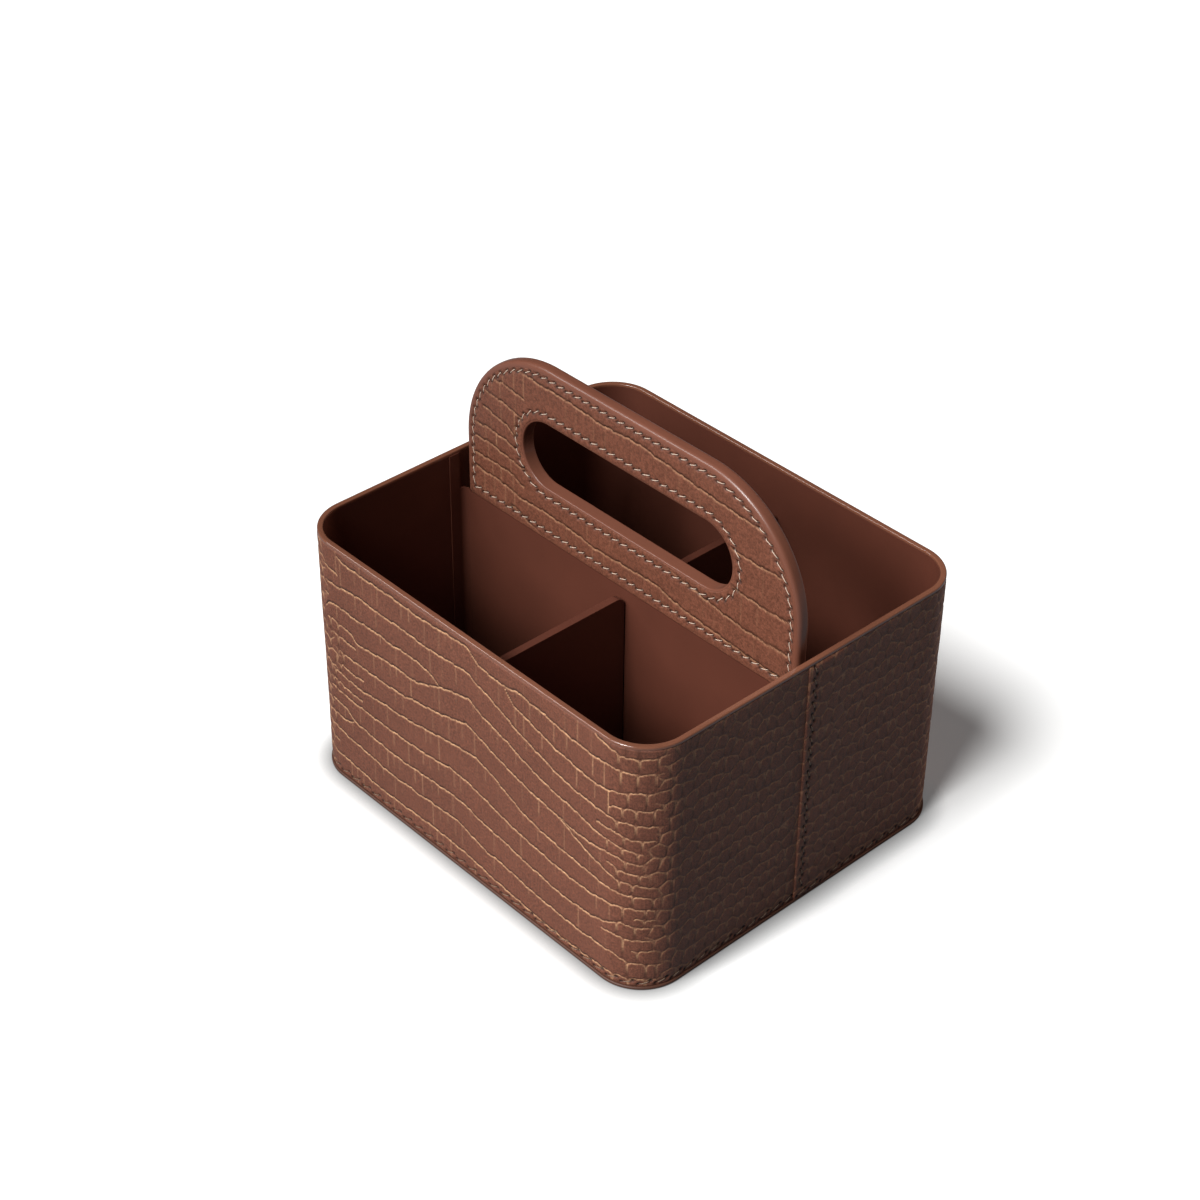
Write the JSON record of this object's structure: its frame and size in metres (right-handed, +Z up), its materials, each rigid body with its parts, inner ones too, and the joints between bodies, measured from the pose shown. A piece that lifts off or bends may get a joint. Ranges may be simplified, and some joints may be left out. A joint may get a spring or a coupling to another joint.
{
  "type": "carry-all caddy",
  "caption": "Open leather-covered box with rounded corners and a fixed arched handle that rises from its long middle wall; low cross dividers part it into open compartments.",
  "frame": {"origin": "on the table, under the middle of the box", "axes": "+X along the handle towards the end seen in the picture, +Y across the box away from the long wall seen in the picture, +Z up"},
  "size_m": [0.2424, 0.2086, 0.215],
  "materials": {
    "embossed_leather": "glossy embossed",
    "plain_leather": "satin",
    "stiff_board": "matte",
    "sewing_thread": "matte"
  },
  "bodies": {
    "root": {"base_board": "stiff_board", "base_cover": "plain_leather", "base_stitches": "sewing_thread", "front_divider_board": "stiff_board", "front_divider_cover": "plain_leather", "front_floor_lining": "plain_leather", "front_outer_wrap": "embossed_leather", "front_wall_board": "stiff_board", "front_wall_lining": "plain_leather", "handle_board": "stiff_board", "handle_edge_binding": "plain_leather", "handle_front_facing": "embossed_leather", "handle_front_lower_stitches": "sewing_thread", "handle_front_outline_stitches": "sewing_thread", "handle_rear_facing": "embossed_leather", "handle_rear_lower_stitches": "sewing_thread", "handle_rear_outline_stitches": "sewing_thread", "left_seam_stitches": "sewing_thread", "panel_front_lining": "plain_leather", "panel_rear_lining": "plain_leather", "rear_divider_board": "stiff_board", "rear_divider_cover": "plain_leather", "rear_floor_lining": "plain_leather", "rear_outer_wrap": "embossed_leather", "rear_wall_board": "stiff_board", "rear_wall_lining": "plain_leather", "right_seam_stitches": "sewing_thread", "rim_binding": "plain_leather", "slot_front_stitches": "sewing_thread", "slot_lining": "plain_leather", "slot_rear_stitches": "sewing_thread"}
  },
  "joints": []
}
